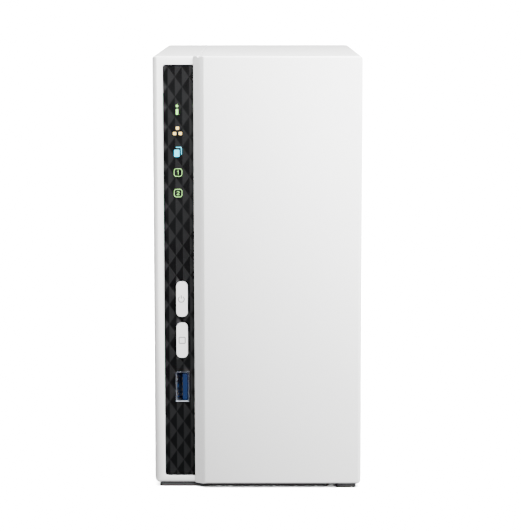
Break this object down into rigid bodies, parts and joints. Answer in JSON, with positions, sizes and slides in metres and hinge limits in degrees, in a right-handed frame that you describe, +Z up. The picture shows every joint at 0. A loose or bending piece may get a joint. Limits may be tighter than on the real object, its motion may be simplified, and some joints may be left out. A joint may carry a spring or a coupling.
{
  "type": "network attached storage",
  "caption": "Upright desktop storage server with a lit front strip, press buttons, a sliding side cover, upright drives and a rear fan.",
  "frame": {"origin": "middle of the footprint on the floor, under the feet", "axes": "+Z up along the height, -Y towards the front strip and buttons, +X to the right seen from the front"},
  "size_m": [0.0902, 0.1562, 0.1886],
  "materials": {
    "white_plastic": "fine moulded texture",
    "panel_plastic": "fine moulded texture",
    "button_plastic": "satin",
    "bezel_plastic": "polished, diamond relief",
    "light_guide": "lit from behind",
    "foot_rubber": "matte",
    "steel": "plated",
    "sheet_steel": "galvanised sheet",
    "drive_casting": "cast",
    "heatsink_metal": "extruded",
    "circuit_board": "solder mask",
    "black_plastic": "moulded",
    "port_blue": "moulded",
    "chip_resin": "moulded resin",
    "copper_winding": "enamelled wire",
    "cable_jacket": "matte"
  },
  "bodies": {
    "housing": {"left_shell": "white_plastic", "rear_panel": "panel_plastic", "cover_screw_upper": "steel", "cover_screw_lower": "steel", "fan_screw_1": "steel", "fan_screw_2": "steel", "fan_screw_3": "steel", "fan_screw_4": "steel", "base_foot_front": "foot_rubber", "base_foot_rear": "foot_rubber", "indicator_bezel": "bezel_plastic", "light_guide_status": "light_guide", "light_guide_network": "light_guide", "light_guide_copy": "light_guide", "light_guide_drive_1": "light_guide", "light_guide_drive_2": "light_guide", "power_switch": "black_plastic", "copy_switch": "black_plastic", "front_usb_shell": "steel", "front_usb_tongue": "port_blue", "front_board": "circuit_board", "mainboard": "circuit_board", "processor": "chip_resin", "memory_chip": "chip_resin", "heatsink": "heatsink_metal", "battery_holder": "black_plastic", "coin_battery": "steel", "ethernet_jack": "steel", "rear_usb_shell": "steel", "rear_usb_insulator": "port_blue", "dc_jack": "black_plastic", "dc_pin": "steel", "reset_switch": "black_plastic", "sata_board": "circuit_board", "board_connector": "black_plastic", "sata_socket_1": "black_plastic", "sata_socket_2": "black_plastic", "drive_1_casting": "drive_casting", "drive_1_lid": "steel", "drive_1_board": "circuit_board", "drive_2_casting": "drive_casting", "drive_2_lid": "steel", "drive_2_board": "circuit_board", "drive_cage": "sheet_steel", "drive_screw_1": "steel", "drive_screw_2": "steel", "drive_screw_3": "steel", "drive_screw_4": "steel", "fan_frame": "black_plastic", "fan_stator": "copper_winding", "fan_cable": "cable_jacket", "ribbon_cable": "cable_jacket"},
    "cover": {"side_cover": "white_plastic", "cover_foot_front": "foot_rubber", "cover_foot_rear": "foot_rubber"},
    "power_key": {"power_button": "button_plastic"},
    "copy_key": {"copy_button": "button_plastic"},
    "reset_key": {"reset_plunger": "black_plastic"},
    "fan_rotor": {"fan_impeller": "black_plastic", "fan_shaft": "steel"}
  },
  "joints": [
    {"name": "cover_slide", "type": "slide", "parent": "housing", "child": "cover", "axis": [0, -1, 0], "range_m": [0, 0.165]},
    {"name": "power_button_press", "type": "slide", "parent": "housing", "child": "power_key", "axis": [0, 1, 0], "range_m": [0, 0.0006], "stiffness_N_per_m": 1500},
    {"name": "copy_button_press", "type": "slide", "parent": "housing", "child": "copy_key", "axis": [0, 1, 0], "range_m": [0, 0.0006], "stiffness_N_per_m": 1500},
    {"name": "reset_button_press", "type": "slide", "parent": "housing", "child": "reset_key", "axis": [0, -1, 0], "range_m": [0, 0.0004], "stiffness_N_per_m": 1500},
    {"name": "fan_spin", "type": "hinge", "parent": "housing", "child": "fan_rotor", "pos_m": [0.012, 0.067, 0.12], "axis": [0, 1, 0], "continuous": true}
  ]
}
